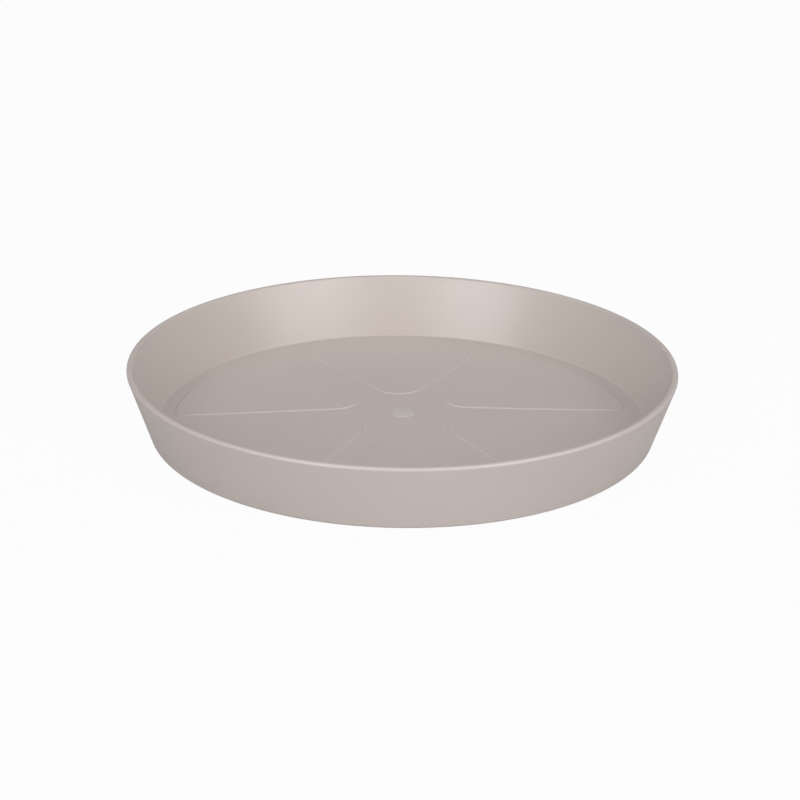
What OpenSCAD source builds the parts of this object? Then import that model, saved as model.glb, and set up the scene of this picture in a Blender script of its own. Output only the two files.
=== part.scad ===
// Round plant saucer: one thin moulding with a leaning wall, a round-edged rim, a crowned floor
// and raised drain pads that hold a pot clear of the water.
// Millimetres. The origin is the middle of the resting face, +Z is up, and a channel runs along +X.

/* [Rim and wall] */
// Diameter across the outside of the rim
rim_d = 210; // [140:1:320]
// Height of the rim above the resting face
height = 26; // [18:0.5:45]
// Lean of the wall from upright, in degrees
wall_lean = 18; // [5:0.5:30]
// Thickness of the wall
wall_t = 2.5; // [1.6:0.1:4]
// Radius round both edges of the rim
rim_edge_r = 0.6; // [0.2:0.1:0.7]
// Radius round the bottom edge, outside
edge_r = 1.5; // [0.5:0.1:3]

/* [Floor] */
// Thickness of the floor
floor_t = 1.5; // [1.2:0.1:3.5]
// Rise of the floor from the gutter to its middle
crown_h = 2.2; // [0.5:0.1:5]
// Radius inside, where the wall meets the floor
fillet_r = 1.5; // [1:0.1:6]
// Width of the flat gutter between that radius and the drain pads
gutter_w = 4.8; // [2:0.1:12]

/* [Drain pads] */
// Number of drain pads
pad_n = 6; // [3:1:12]
// Height of a pad above the floor
pad_h = 0.4; // [0.3:0.1:2]
// Width of the channel between two pads
channel_w = 10.3; // [4:0.1:20]
// Radius of a pad's inner tip
pad_tip_r = 10; // [2:0.5:15]
// Radius of a pad's outer corners
pad_corner_r = 4.5; // [1:0.5:6]

/* [Gate] */
// Diameter of the round button in the middle of the floor
button_d = 9; // [5:0.5:16]
// Height of the button's edge above the floor
button_edge_h = 0.2; // [0.1:0.1:1]
// Rise of the button's low dome above its edge
dome_h = 0.2; // [0.1:0.1:1]
// Diameter of the gate well under the button
well_d = 6; // [3:0.5:10]
// Depth of the gate well
well_h = 0.6; // [0.2:0.1:1]

/* [Hidden] */

$fn = 240;
// Steps in a bend of a profile, in the crown's curve and in a pad's outer arc
bend_steps = 8;
crown_steps = 14;
arc_steps = 18;

// Centres of the radii round the rim's outer and inner edge
rim_out_c = [rim_d / 2 - rim_edge_r, height - rim_edge_r];
rim_in_c = [wall_r(rim_out_c[1], wall_t - rim_edge_r), rim_out_c[1]];

// Centres of the bottom edge's radius and of the inside radius
edge_c = [wall_r(edge_r, edge_r), edge_r];
fillet_z = floor_t + fillet_r;
fillet_c = [wall_r(fillet_z, wall_t + fillet_r), fillet_z];

// Outer radius of the pads, and of the crown, which starts in the middle of the gutter
pad_r = fillet_c[0] - gutter_w;
crown_r = fillet_c[0] - gutter_w / 2;

// Half the angle from one channel to the next
half_a = 180 / pad_n;
tip_x = (channel_w / 2 + pad_tip_r) / sin(half_a);
corner_d = pad_r - pad_corner_r;
corner_a = half_a - asin((channel_w / 2 + pad_corner_r) / corner_d);

// Radius of a line at height z that lies inset from the wall's outer face
function wall_r(z, inset) =
    rim_out_c[0] + (z - rim_out_c[1]) * tan(wall_lean) + (rim_edge_r - inset) / cos(wall_lean);

// Height of the crown at radius r: level in the middle and at the gutter
function crown_z(r) = crown_h * (1 + cos(180 * r / crown_r)) / 2;

// Points along an arc, both ends included
function arc(centre, r, from, to, steps) =
    [for (i = [0:steps]) let (a = from + (to - from) * i / steps) centre + r * [cos(a), sin(a)]];

// Points along the crown's curve raised by lift, from the gutter to the middle
function crown(lift) =
    [for (i = [crown_steps:-1:0]) let (r = crown_r * i / crown_steps) [r, crown_z(r) + lift]];

function reversed(points) = [for (i = [len(points) - 1:-1:0]) points[i]];

// Half section of the dish, from the underside round the rim to the floor
function dish_section() = concat(
    reversed(crown(0)),
    arc(edge_c, edge_r, -90, -wall_lean, bend_steps),
    arc(rim_out_c, rim_edge_r, -wall_lean, 90, bend_steps),
    arc(rim_in_c, rim_edge_r, 90, 180 - wall_lean, bend_steps),
    arc(fillet_c, fillet_r, -wall_lean, -90, bend_steps),
    crown(floor_t));

// Outline of the pad that lies along +X: a sector with a round tip and round outer corners
function pad_outline() = concat(
    arc([tip_x, 0], pad_tip_r, 90 + half_a, 270 - half_a, 2 * bend_steps),
    arc(corner_d * [cos(corner_a), -sin(corner_a)], pad_corner_r, -90 - half_a, -corner_a, bend_steps),
    [for (i = [1:arc_steps - 1]) let (a = corner_a * (2 * i / arc_steps - 1)) pad_r * [cos(a), sin(a)]],
    arc(corner_d * [cos(corner_a), sin(corner_a)], pad_corner_r, corner_a, 90 + half_a, bend_steps));

module dish() {
    rotate_extrude() polygon(dish_section());
}

// The pads follow the crown: they start halfway down in the floor and stand one height above it
module drain_pads() {
    intersection() {
        rotate_extrude()
            polygon(concat(
                reversed(crown(floor_t / 2)),
                [[rim_d / 2, floor_t / 2], [rim_d / 2, floor_t + pad_h]],
                crown(floor_t + pad_h)));
        for (i = [0:pad_n - 1])
            rotate(360 * (i + 0.5) / pad_n)
                linear_extrude(height) polygon(pad_outline());
    }
}

// The button is a disc with a low dome on top
module gate_button() {
    edge = button_d / 2;
    foot = crown_h + floor_t;
    ball_r = (edge * edge + dome_h * dome_h) / (2 * dome_h);
    dome_a = asin(edge / ball_r);
    rotate_extrude()
        polygon(concat(
            [[0, foot - floor_t / 2], [edge, foot - floor_t / 2]],
            arc([0, foot + button_edge_h + dome_h - ball_r], ball_r, 90 - dome_a, 90, bend_steps)));
}

module gate_well() {
    cylinder(d = well_d, h = crown_h + well_h);
}

module saucer() {
    color([0.73, 0.68, 0.65])
        difference() {
            union() {
                dish();
                drain_pads();
                gate_button();
            }
            gate_well();
        }
}

saucer();
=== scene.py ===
import math
import bmesh
import bpy
from mathutils import Matrix, Vector
from mathutils.geometry import delaunay_2d_cdt


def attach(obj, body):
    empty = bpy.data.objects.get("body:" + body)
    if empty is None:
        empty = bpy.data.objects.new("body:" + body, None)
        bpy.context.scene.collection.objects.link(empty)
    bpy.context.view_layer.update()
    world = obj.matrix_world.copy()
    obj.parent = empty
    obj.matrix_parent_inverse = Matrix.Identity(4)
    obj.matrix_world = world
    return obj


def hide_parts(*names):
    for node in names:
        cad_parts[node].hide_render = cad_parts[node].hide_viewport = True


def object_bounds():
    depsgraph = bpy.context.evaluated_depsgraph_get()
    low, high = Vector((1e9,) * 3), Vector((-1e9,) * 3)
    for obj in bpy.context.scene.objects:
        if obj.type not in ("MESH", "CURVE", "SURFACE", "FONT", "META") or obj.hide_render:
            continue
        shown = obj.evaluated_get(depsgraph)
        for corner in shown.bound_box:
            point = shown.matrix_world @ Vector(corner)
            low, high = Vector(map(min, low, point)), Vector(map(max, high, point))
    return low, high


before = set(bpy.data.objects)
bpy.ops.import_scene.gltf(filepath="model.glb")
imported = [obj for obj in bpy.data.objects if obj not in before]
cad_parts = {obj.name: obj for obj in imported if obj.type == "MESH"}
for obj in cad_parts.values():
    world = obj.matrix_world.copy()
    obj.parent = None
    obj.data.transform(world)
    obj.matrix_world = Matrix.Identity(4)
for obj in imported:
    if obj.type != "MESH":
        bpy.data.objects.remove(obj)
cadLow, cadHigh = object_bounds()
scene = bpy.context.scene
scene.view_settings.view_transform = "Standard"
mm = 0.001
print("frame loaded:", sorted(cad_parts))


# camera, at the photograph's viewing angle
shot = {
    "elevation": 21.35,           # degrees above the table
    "turn": -3.58,                # degrees round the saucer, whose channels lie a little askew
    "roll": 0.71,                 # degrees
    "distance": 0.7351,           # metres to the middle of the saucer
    "lens": 85.56,                # millimetres
    "sensor": 36.0,               # millimetres
    "aside": 0.0233,              # metres from the saucer's middle to the line of sight, sideways
    "above": 0.0042,              # and upwards
    "shift": (-0.0796, -0.0257),  # moves the picture back over the saucer
}


def makeCamera():
    tilt, roll = math.radians(shot["elevation"]), math.radians(shot["roll"])
    turn = Matrix.Rotation(math.radians(shot["turn"]), 3, "Z")
    back = turn @ Vector((0, -math.cos(tilt), math.sin(tilt)))
    level = turn @ Vector((1, 0, 0))
    upward = back.cross(level)
    right = math.cos(roll) * level + math.sin(roll) * upward
    up = math.cos(roll) * upward - math.sin(roll) * level
    middle = (cadLow + cadHigh) / 2
    spot = middle + back * shot["distance"]
    aim = middle + right * shot["aside"] + up * shot["above"]
    away = (spot - aim).normalized()
    side = up.cross(away).normalized()
    data = bpy.data.cameras.new("camera")
    data.lens, data.sensor_width = shot["lens"], shot["sensor"]
    data.shift_x, data.shift_y = shot["shift"]
    camera = bpy.data.objects.new("camera", data)
    axes = Matrix((side, away.cross(side), away)).transposed()
    camera.matrix_world = Matrix.Translation(spot) @ axes.to_4x4()
    scene.collection.objects.link(camera)
    scene.camera = camera
    print("camera at", [round(v, 3) for v in spot])


makeCamera()


# the saucer: one moulding, in millimetres until it becomes a mesh
dish = {
    "lean": 18.25,   # degrees, wall from upright
    "wall": 2.5,     # thickness of the wall
    "rimEdge": 0.9,  # radius round both edges of the rim
    "edge": 1.5,     # radius round the bottom edge
    "floor": 1.5,    # thickness of the floor
    "crown": 2.2,    # rise of the floor to its middle
    "fillet": 0.7,   # radius between wall and floor, as tight as the photograph shows it
    "gutter": 5.38,  # flat ring outside the pads
}
pads = {
    "count": 6,
    "rise": 0.4,      # height above the floor
    "channel": 10.3,  # width between two pads
    "tip": 10.0,      # radius of the inner tip
    "corner": 4.5,    # radius of the outer corners
    "soften": 0.3,    # half width of the sloping edge
    "lip": 1.0,       # even rim of faces inside a pad's edge
    "grid": 3.0,      # spacing of the faces on a pad
    "clear": 0.6,     # how far these keep from the lip, as a share of their spacing
    "rows": (0.0, 0.4, 0.75, 0.93),  # rows of faces from the channel's middle to a pad's edge
}
gate = {
    "button": 4.5,   # radius of the button in the middle
    "rise": 0.2,     # height of its edge
    "dome": 0.2,     # rise of its low dome
    "soften": 0.12,  # half width of the slope at its edge, and at the well's
    "hub": 9.0,      # radius of the plain floor round it
    "well": 3.0,     # radius of the gate well underneath
    "depth": 0.6,    # depth of the well
    "rings": (0.92, 0.75, 0.5, 0.25, 0.0),  # rings of faces on the button
}
steps = {
    "bend": 10, "wall": 5, "crown": 16, "slope": 8,            # along a section
    "edge": 24, "corner": 6, "arc": 40, "tip": 16, "hub": 18,  # round a pad
}
tight = 0.2        # spacing of the loop that holds a bend's end
short = 3 * tight  # a flat stretch up to this length has one loop, in its middle
weld = 0.002       # points closer than this become one

lean = math.radians(dish["lean"])
rimRadius = min(cadHigh.x, cadHigh.y, -cadLow.x, -cadLow.y) / mm
rimOuter = (rimRadius - dish["rimEdge"], cadHigh.z / mm - dish["rimEdge"])
halfAngle = math.pi / pads["count"]
halfChannel = pads["channel"] / 2


def wallRadius(z, inset):  # radius of a line inside the outer face of the wall
    rise = (z - rimOuter[1]) * math.tan(lean)
    return rimOuter[0] + rise + (dish["rimEdge"] - inset) / math.cos(lean)


# middles of the round edges, as radius and height
rimInner = (wallRadius(rimOuter[1], dish["wall"] - dish["rimEdge"]), rimOuter[1])
edgeCentre = (wallRadius(dish["edge"], dish["edge"]), dish["edge"])
filletHeight = dish["floor"] + dish["fillet"]
filletCentre = (wallRadius(filletHeight, dish["wall"] + dish["fillet"]), filletHeight)
floorRadius = filletCentre[0]
padRadius = floorRadius - dish["gutter"]
crownRadius = floorRadius - dish["gutter"] / 2


def crownRise(radius):
    if radius >= crownRadius:
        return 0.0
    return dish["crown"] * (1 + math.cos(math.pi * radius / crownRadius)) / 2


def slopeRise(offset, rise, soften):  # height across a softened step, 0 outside and rise inside
    share = min(1, max(0, (soften - offset) / (2 * soften)))
    return rise * (1 - math.cos(math.pi * share)) / 2


def buttonRise(radius):
    dome = gate["dome"] * max(0, 1 - (radius / gate["button"]) ** 2)
    return dome + slopeRise(radius - gate["button"], gate["rise"], gate["soften"])


def polar(radius, angle):
    return Vector((radius * math.cos(angle), radius * math.sin(angle)))


def between(first, last, count):  # count values, without the last one
    return [first + (last - first) * i / count for i in range(count)]


def bend(centre, radius, start, end):
    angles = between(start, end, steps["bend"]) + [end]
    return [(centre[0] + radius * math.cos(a), centre[1] + radius * math.sin(a)) for a in angles]


def straight(start, end):  # inner points of a flat stretch, with a loop held close to each bend
    length = math.dist(start, end)
    shares = [0.5]
    if length > short:
        shares = sorted([tight / length] + between(0, 1, steps["wall"])[1:] + [1 - tight / length])
    return [(start[0] + (end[0] - start[0]) * s, start[1] + (end[1] - start[1]) * s) for s in shares]


def slopeOffsets(soften):  # offsets across a step's edge, from outside to inside
    across = [soften * (1 - 2 * i / steps["slope"]) for i in range(steps["slope"] + 1)]
    return [soften + tight] + across + [-soften - tight]


# half section from the floor's edge over the rim to the gate well
def dishSection():
    fillet = bend(filletCentre, dish["fillet"], -math.pi / 2, -lean)
    innerEdge = bend(rimInner, dish["rimEdge"], math.pi - lean, math.pi / 2)
    outerEdge = bend(rimOuter, dish["rimEdge"], math.pi / 2, -lean)
    bottom = bend(edgeCentre, dish["edge"], -lean, -math.pi / 2)
    bends = [fillet, innerEdge, outerEdge, bottom]
    section = list(fillet)
    for first, second in zip(bends, bends[1:]):
        section += straight(first[-1], second[0]) + second
    section.append((edgeCentre[0] - tight, 0.0))
    for radius in between(crownRadius, gate["hub"], steps["crown"]) + [gate["hub"]]:
        section.append((radius, crownRise(radius)))
    for offset in slopeOffsets(gate["soften"]):
        radius = gate["well"] + offset
        depth = slopeRise(offset, gate["depth"], gate["soften"])
        section.append((radius, crownRise(radius) + depth))
    return section + [(0.0, dish["crown"] + gate["depth"])]


# half section of the floor's top, from the hub over the button to the axis
def buttonSection():
    radii = [gate["hub"], (gate["hub"] + gate["button"]) / 2]
    radii += [gate["button"] + offset for offset in slopeOffsets(gate["soften"])]
    radii += [gate["button"] * share for share in gate["rings"]]
    return [(r, dish["floor"] + crownRise(r) + buttonRise(r)) for r in radii]


def stitch(mesh, first, second):  # faces between two closed rows, or from a row to one point
    for i, start in enumerate(first):
        j = (i + 1) % len(first)
        across = [second[j], second[i]] if len(second) > 1 else [second[0]]
        mesh.faces.new([start, first[j], *across])


def turned(mesh, section, angles):  # a section turned about the axis, as rows of faces
    last = None
    for radius, height in section:
        ringAngles = angles if radius > 0 else [0.0]
        row = [mesh.verts.new((*polar(radius, a) * mm, height * mm)) for a in ringAngles]
        if last:
            stitch(mesh, last, row)
        last = row


# a pad along +X and its share of the channels: for each ray the edge's centre, radius and direction,
# and the place on the share's border that the ray runs to
def padRays():
    tipCentre = Vector(((halfChannel + pads["tip"]) / math.sin(halfAngle), 0))
    cornerReach = padRadius - pads["corner"]
    cornerTurn = math.asin((halfChannel + pads["corner"]) / cornerReach)
    cornerAngle = halfAngle - cornerTurn
    tipFoot = tipCentre.x * math.cos(halfAngle)
    cornerFoot = cornerReach * math.cos(cornerTurn)
    rays = []

    def swing(centre, radius, targets):
        rays.extend((centre, radius, (t - centre).normalized(), t) for t in targets)

    def along(side, start, end, count):
        return [polar(d, side * halfAngle) for d in between(start, end, count)]

    def edge(side, start, end):
        away = polar(1, side * (halfAngle + math.pi / 2))
        for t in along(side, start, end, steps["edge"]):
            rays.append((t - away * halfChannel, 0.0, away, t))

    def rounds(radius, start, end, count):
        return [polar(radius, a) for a in between(start, end, count)]

    lower, upper = polar(cornerReach, -cornerAngle), polar(cornerReach, cornerAngle)
    swing(tipCentre, pads["tip"], along(1, tipFoot, gate["hub"], steps["tip"]))
    swing(tipCentre, pads["tip"], rounds(gate["hub"], halfAngle, -halfAngle, steps["hub"]))
    swing(tipCentre, pads["tip"], along(-1, gate["hub"], tipFoot, steps["tip"]))
    edge(-1, tipFoot, cornerFoot)
    swing(lower, pads["corner"], along(-1, cornerFoot, floorRadius, steps["corner"]))
    swing(lower, pads["corner"], rounds(floorRadius, -halfAngle, -cornerAngle, steps["corner"]))
    swing(Vector((0, 0)), padRadius, rounds(floorRadius, -cornerAngle, cornerAngle, steps["arc"]))
    swing(upper, pads["corner"], rounds(floorRadius, cornerAngle, halfAngle, steps["corner"]))
    swing(upper, pads["corner"], along(1, floorRadius, cornerFoot, steps["corner"]))
    edge(1, cornerFoot, tipFoot)
    return rays, cornerAngle


# the floor's top round one pad, from the middle of the channels up to the pad's lip
def floorShare(mesh, rays, spin):
    def place(point, offset):
        step = slopeRise(offset, pads["rise"], pads["soften"])
        height = dish["floor"] + crownRise(point.length) + step
        spot = Matrix.Rotation(spin, 2) @ point
        return mesh.verts.new((*spot * mm, height * mm))

    def edgeLine(offset):  # the pad's edge, moved outwards
        return [centre + way * (radius + offset) for centre, radius, way, target in rays]

    rows = []
    slope = slopeOffsets(pads["soften"])
    slope.append(-pads["soften"] - pads["lip"])
    targets = [ray[-1] for ray in rays]
    for share in pads["rows"]:
        ends = zip(targets, edgeLine(slope[0]))
        rows.append([place(target.lerp(foot, share), slope[0]) for target, foot in ends])
    for offset in slope:
        rows.append([place(point, offset) for point in edgeLine(offset)])
    for first, second in zip(rows, rows[1:]):
        stitch(mesh, first, second)
    return rows[-1], place, edgeLine(slope[-1])


def inside(point, outline):
    crossings = 0
    for a, b in zip(outline, outline[1:] + outline[:1]):
        if (a.y > point.y) != (b.y > point.y):
            crossings += point.x < a.x + (point.y - a.y) / (b.y - a.y) * (b.x - a.x)
    return crossings % 2 == 1


def fillPad(mesh, border, place, outline):  # even triangles over the top of a pad
    grid = pads["grid"]
    points = list(outline)
    reach = int(max(p.x for p in outline) / grid)
    for row in range(-reach, reach + 1):
        for column in range(reach + 1):
            point = Vector(((column + row % 2 / 2) * grid, row * grid * math.sqrt(3) / 2))
            gap = min((point - p).length for p in outline)
            if inside(point, outline) and gap > grid * pads["clear"]:
                points.append(point)
    loop = [(i, (i + 1) % len(outline)) for i in range(len(outline))]
    insideOnly, nearness = 1, 1e-6  # keeps the triangles inside the loop, and joins points this close
    made = delaunay_2d_cdt(points, loop, [], insideOnly, nearness)
    flat, faces, origins = made[0], made[2], made[3]
    corners = []
    for spot, origin in zip(flat, origins):
        onBorder = origin and origin[0] < len(border)
        corners.append(border[origin[0]] if onBorder else place(spot, -pads["lip"]))
    for face in faces:
        mesh.faces.new([corners[i] for i in face])


def makeSaucer():
    mesh = bmesh.new()
    rays, cornerAngle = padRays()
    shareAngles = between(-halfAngle, -cornerAngle, steps["corner"])
    shareAngles += between(-cornerAngle, cornerAngle, steps["arc"])
    shareAngles += between(cornerAngle, halfAngle, steps["corner"])
    spins = [(2 * i + 1) * halfAngle for i in range(pads["count"])]
    turned(mesh, dishSection(), [s + a for s in spins for a in shareAngles])
    hubAngles = between(-halfAngle, halfAngle, steps["hub"])
    turned(mesh, buttonSection(), [s + a for s in spins for a in hubAngles])
    for spin in spins:
        border, place, outline = floorShare(mesh, rays, spin)
        fillPad(mesh, border, place, outline)
    bmesh.ops.remove_doubles(mesh, verts=mesh.verts, dist=weld * mm)
    bmesh.ops.recalc_face_normals(mesh, faces=mesh.faces)
    openEdges = sum(not e.is_manifold for e in mesh.edges)
    for face in mesh.faces:
        face.smooth = True
    data = bpy.data.meshes.new("saucerMoulding")
    mesh.to_mesh(data)
    print("saucer:", len(mesh.verts), "points,", len(mesh.faces), "faces,", openEdges, "open edges")
    mesh.free()
    saucer = bpy.data.objects.new("saucerMoulding", data)
    scene.collection.objects.link(saucer)
    return saucer


saucer = makeSaucer()


# the plastic: warm grey-beige, with the fine matt grain of the mould
plastic = {
    "colour": (0.567, 0.500, 0.470, 1),
    "paler": (0.593, 0.523, 0.491, 1),  # the light end of its slow changes of shade
    "buttonSheen": (0.632, 0.571, 0.537, 1),  # the gate button's face, a little paler: painted sheen for the brighter reflection of its polished face
    "roughness": (0.33, 0.41),
    "polish": (0.14, 0.20),             # roughness of the gate button
    "refraction": 1.58,
    "cloudScale": 28.0,                 # slow changes of shade, per metre
    "cloudDetail": 3,
    "grainScale": 2600.0,               # mould grain, per metre
    "grainDetail": 2,
    "grain": 0.10,                      # strength of its bump
    "depth": 0.00006,                   # and height, in metres
}


def plasticMaterial():
    material = bpy.data.materials.new("mouldedPlastic")
    material.use_nodes = True
    nodes, links = material.node_tree.nodes, material.node_tree.links
    shader = nodes["Principled BSDF"]
    shader.inputs["IOR"].default_value = plastic["refraction"]
    coords = nodes.new("ShaderNodeTexCoord").outputs["Object"]

    def noise(scale, detail):
        node = nodes.new("ShaderNodeTexNoise")
        node.inputs["Scale"].default_value = scale
        node.inputs["Detail"].default_value = detail
        links.new(coords, node.inputs["Vector"])
        return node.outputs["Fac"]

    def operation(kind, name):
        node = nodes.new(kind)
        node.operation = name
        return node

    clouds = noise(plastic["cloudScale"], plastic["cloudDetail"])
    grain = noise(plastic["grainScale"], plastic["grainDetail"])

    # 0 on the gate button and 1 outside its edge, by the distance from the axis
    flat = operation("ShaderNodeVectorMath", "MULTIPLY")
    flat.inputs[1].default_value = (1, 1, 0)
    length = operation("ShaderNodeVectorMath", "LENGTH")
    outside = operation("ShaderNodeMath", "GREATER_THAN")
    outside.inputs[1].default_value = gate["button"] * mm
    links.new(coords, flat.inputs[0])
    links.new(flat.outputs["Vector"], length.inputs[0])
    links.new(length.outputs["Value"], outside.inputs[0])

    def colourMix(factor, first):
        node = nodes.new("ShaderNodeMix")
        node.data_type = "RGBA"
        node.inputs["A"].default_value = first
        links.new(factor, node.inputs["Factor"])
        return node

    shade = colourMix(clouds, plastic["colour"])
    shade.inputs["B"].default_value = plastic["paler"]
    # the gate button's face gets a paler colour: painted sheen, on top of its lower roughness
    buttonSheen = colourMix(outside.outputs[0], plastic["buttonSheen"])
    links.new(shade.outputs["Result"], buttonSheen.inputs["B"])
    links.new(buttonSheen.outputs["Result"], shader.inputs["Base Color"])

    def gloss(ends):  # roughness between two ends, by the grain
        node = nodes.new("ShaderNodeMapRange")
        node.inputs["To Min"].default_value, node.inputs["To Max"].default_value = ends
        links.new(grain, node.inputs["Value"])
        return node.outputs["Result"]

    rough = nodes.new("ShaderNodeMix")
    links.new(outside.outputs[0], rough.inputs["Factor"])
    links.new(gloss(plastic["polish"]), rough.inputs["A"])
    links.new(gloss(plastic["roughness"]), rough.inputs["B"])
    links.new(rough.outputs["Result"], shader.inputs["Roughness"])

    bump = nodes.new("ShaderNodeBump")
    bump.inputs["Strength"].default_value = plastic["grain"]
    bump.inputs["Distance"].default_value = plastic["depth"]
    links.new(grain, bump.inputs["Height"])
    links.new(bump.outputs["Normal"], shader.inputs["Normal"])
    return material


saucer.data.materials.append(plasticMaterial())
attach(saucer, "root")
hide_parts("saucer")
print("plastic done")


# white floor that keeps a soft shadow, and studio light
studio = {
    "floorSize": 6.0,         # metres
    "floorColour": (0.52, 0.52, 0.52, 1),
    "white": (1, 1, 1, 1),    # colour of the world
    "worldLight": 0.14,       # on the object
    "backdrop": (1.0, 0.28),  # how far the world turns white, for the camera and for reflections
    "ownWhite": (0.96, 0.2),  # share of the floor that is white in any light, for the same two
    "reach": 1.4,             # metres from the saucer to each lamp
    "lamps": [                # name, degrees round from the front, degrees up, width in metres, watts
        ("lowLeft", -34, 21, 0.9, 9.3),
        ("lowRight", 46, 21, 1.1, 10.5),
        ("top", 0, 86, 3.6, 19.2),
    ],
}


# a share that is seen by the camera, mirrored in reflections and glass, and 0 for light on the object
def rayShare(nodes, links, seen, mirrored):
    path = nodes.new("ShaderNodeLightPath")
    other, direct, total = (nodes.new("ShaderNodeMath") for i in range(3))
    other.operation, direct.operation, total.operation = "MAXIMUM", "MULTIPLY", "MULTIPLY_ADD"
    links.new(path.outputs["Is Glossy Ray"], other.inputs[0])
    links.new(path.outputs["Is Transmission Ray"], other.inputs[1])
    links.new(path.outputs["Is Camera Ray"], direct.inputs[0])
    direct.inputs[1].default_value = seen
    links.new(other.outputs[0], total.inputs[0])
    total.inputs[1].default_value = mirrored
    links.new(direct.outputs[0], total.inputs[2])
    return total.outputs[0]


def makeFloor():
    half = studio["floorSize"] / 2
    corners = [(-half, -half, 0), (half, -half, 0), (half, half, 0), (-half, half, 0)]
    data = bpy.data.meshes.new("floor")
    data.from_pydata(corners, [], [(0, 1, 2, 3)])
    floor = bpy.data.objects.new("floor", data)
    floor.location.z = cadLow.z
    scene.collection.objects.link(floor)
    material = bpy.data.materials.new("whiteFloor")
    material.use_nodes = True
    nodes, links = material.node_tree.nodes, material.node_tree.links
    nodes.remove(nodes["Principled BSDF"])
    lit, white, mix = (nodes.new("ShaderNode" + n) for n in ("BsdfDiffuse", "Emission", "MixShader"))
    lit.inputs["Color"].default_value = studio["floorColour"]
    links.new(rayShare(nodes, links, *studio["ownWhite"]), mix.inputs["Fac"])
    links.new(lit.outputs[0], mix.inputs[1])
    links.new(white.outputs[0], mix.inputs[2])
    links.new(mix.outputs[0], nodes["Material Output"].inputs["Surface"])
    data.materials.append(material)


def makeWorld():
    world = bpy.data.worlds.new("studio")
    scene.world = world
    world.use_nodes = True
    nodes, links = world.node_tree.nodes, world.node_tree.links
    background = nodes["Background"]
    background.inputs["Color"].default_value = studio["white"]
    level = nodes.new("ShaderNodeMapRange")
    level.inputs["To Min"].default_value = studio["worldLight"]
    links.new(rayShare(nodes, links, *studio["backdrop"]), level.inputs["Value"])
    links.new(level.outputs["Result"], background.inputs["Strength"])


def makeLamps():
    for name, aside, height, width, power in studio["lamps"]:
        data = bpy.data.lights.new(name, "AREA")
        data.shape, data.size, data.energy = "SQUARE", width, power
        lamp = bpy.data.objects.new(name, data)
        way = Matrix.Rotation(math.radians(shot["turn"] + aside), 3, "Z") @ Vector((0, -1, 0))
        rise = math.radians(height)
        lamp.location = studio["reach"] * (way * math.cos(rise) + Vector((0, 0, math.sin(rise))))
        lamp.rotation_euler = lamp.location.to_track_quat("Z", "Y").to_euler()  # faces the saucer
        scene.collection.objects.link(lamp)


makeFloor()
makeWorld()
makeLamps()
print("studio done")
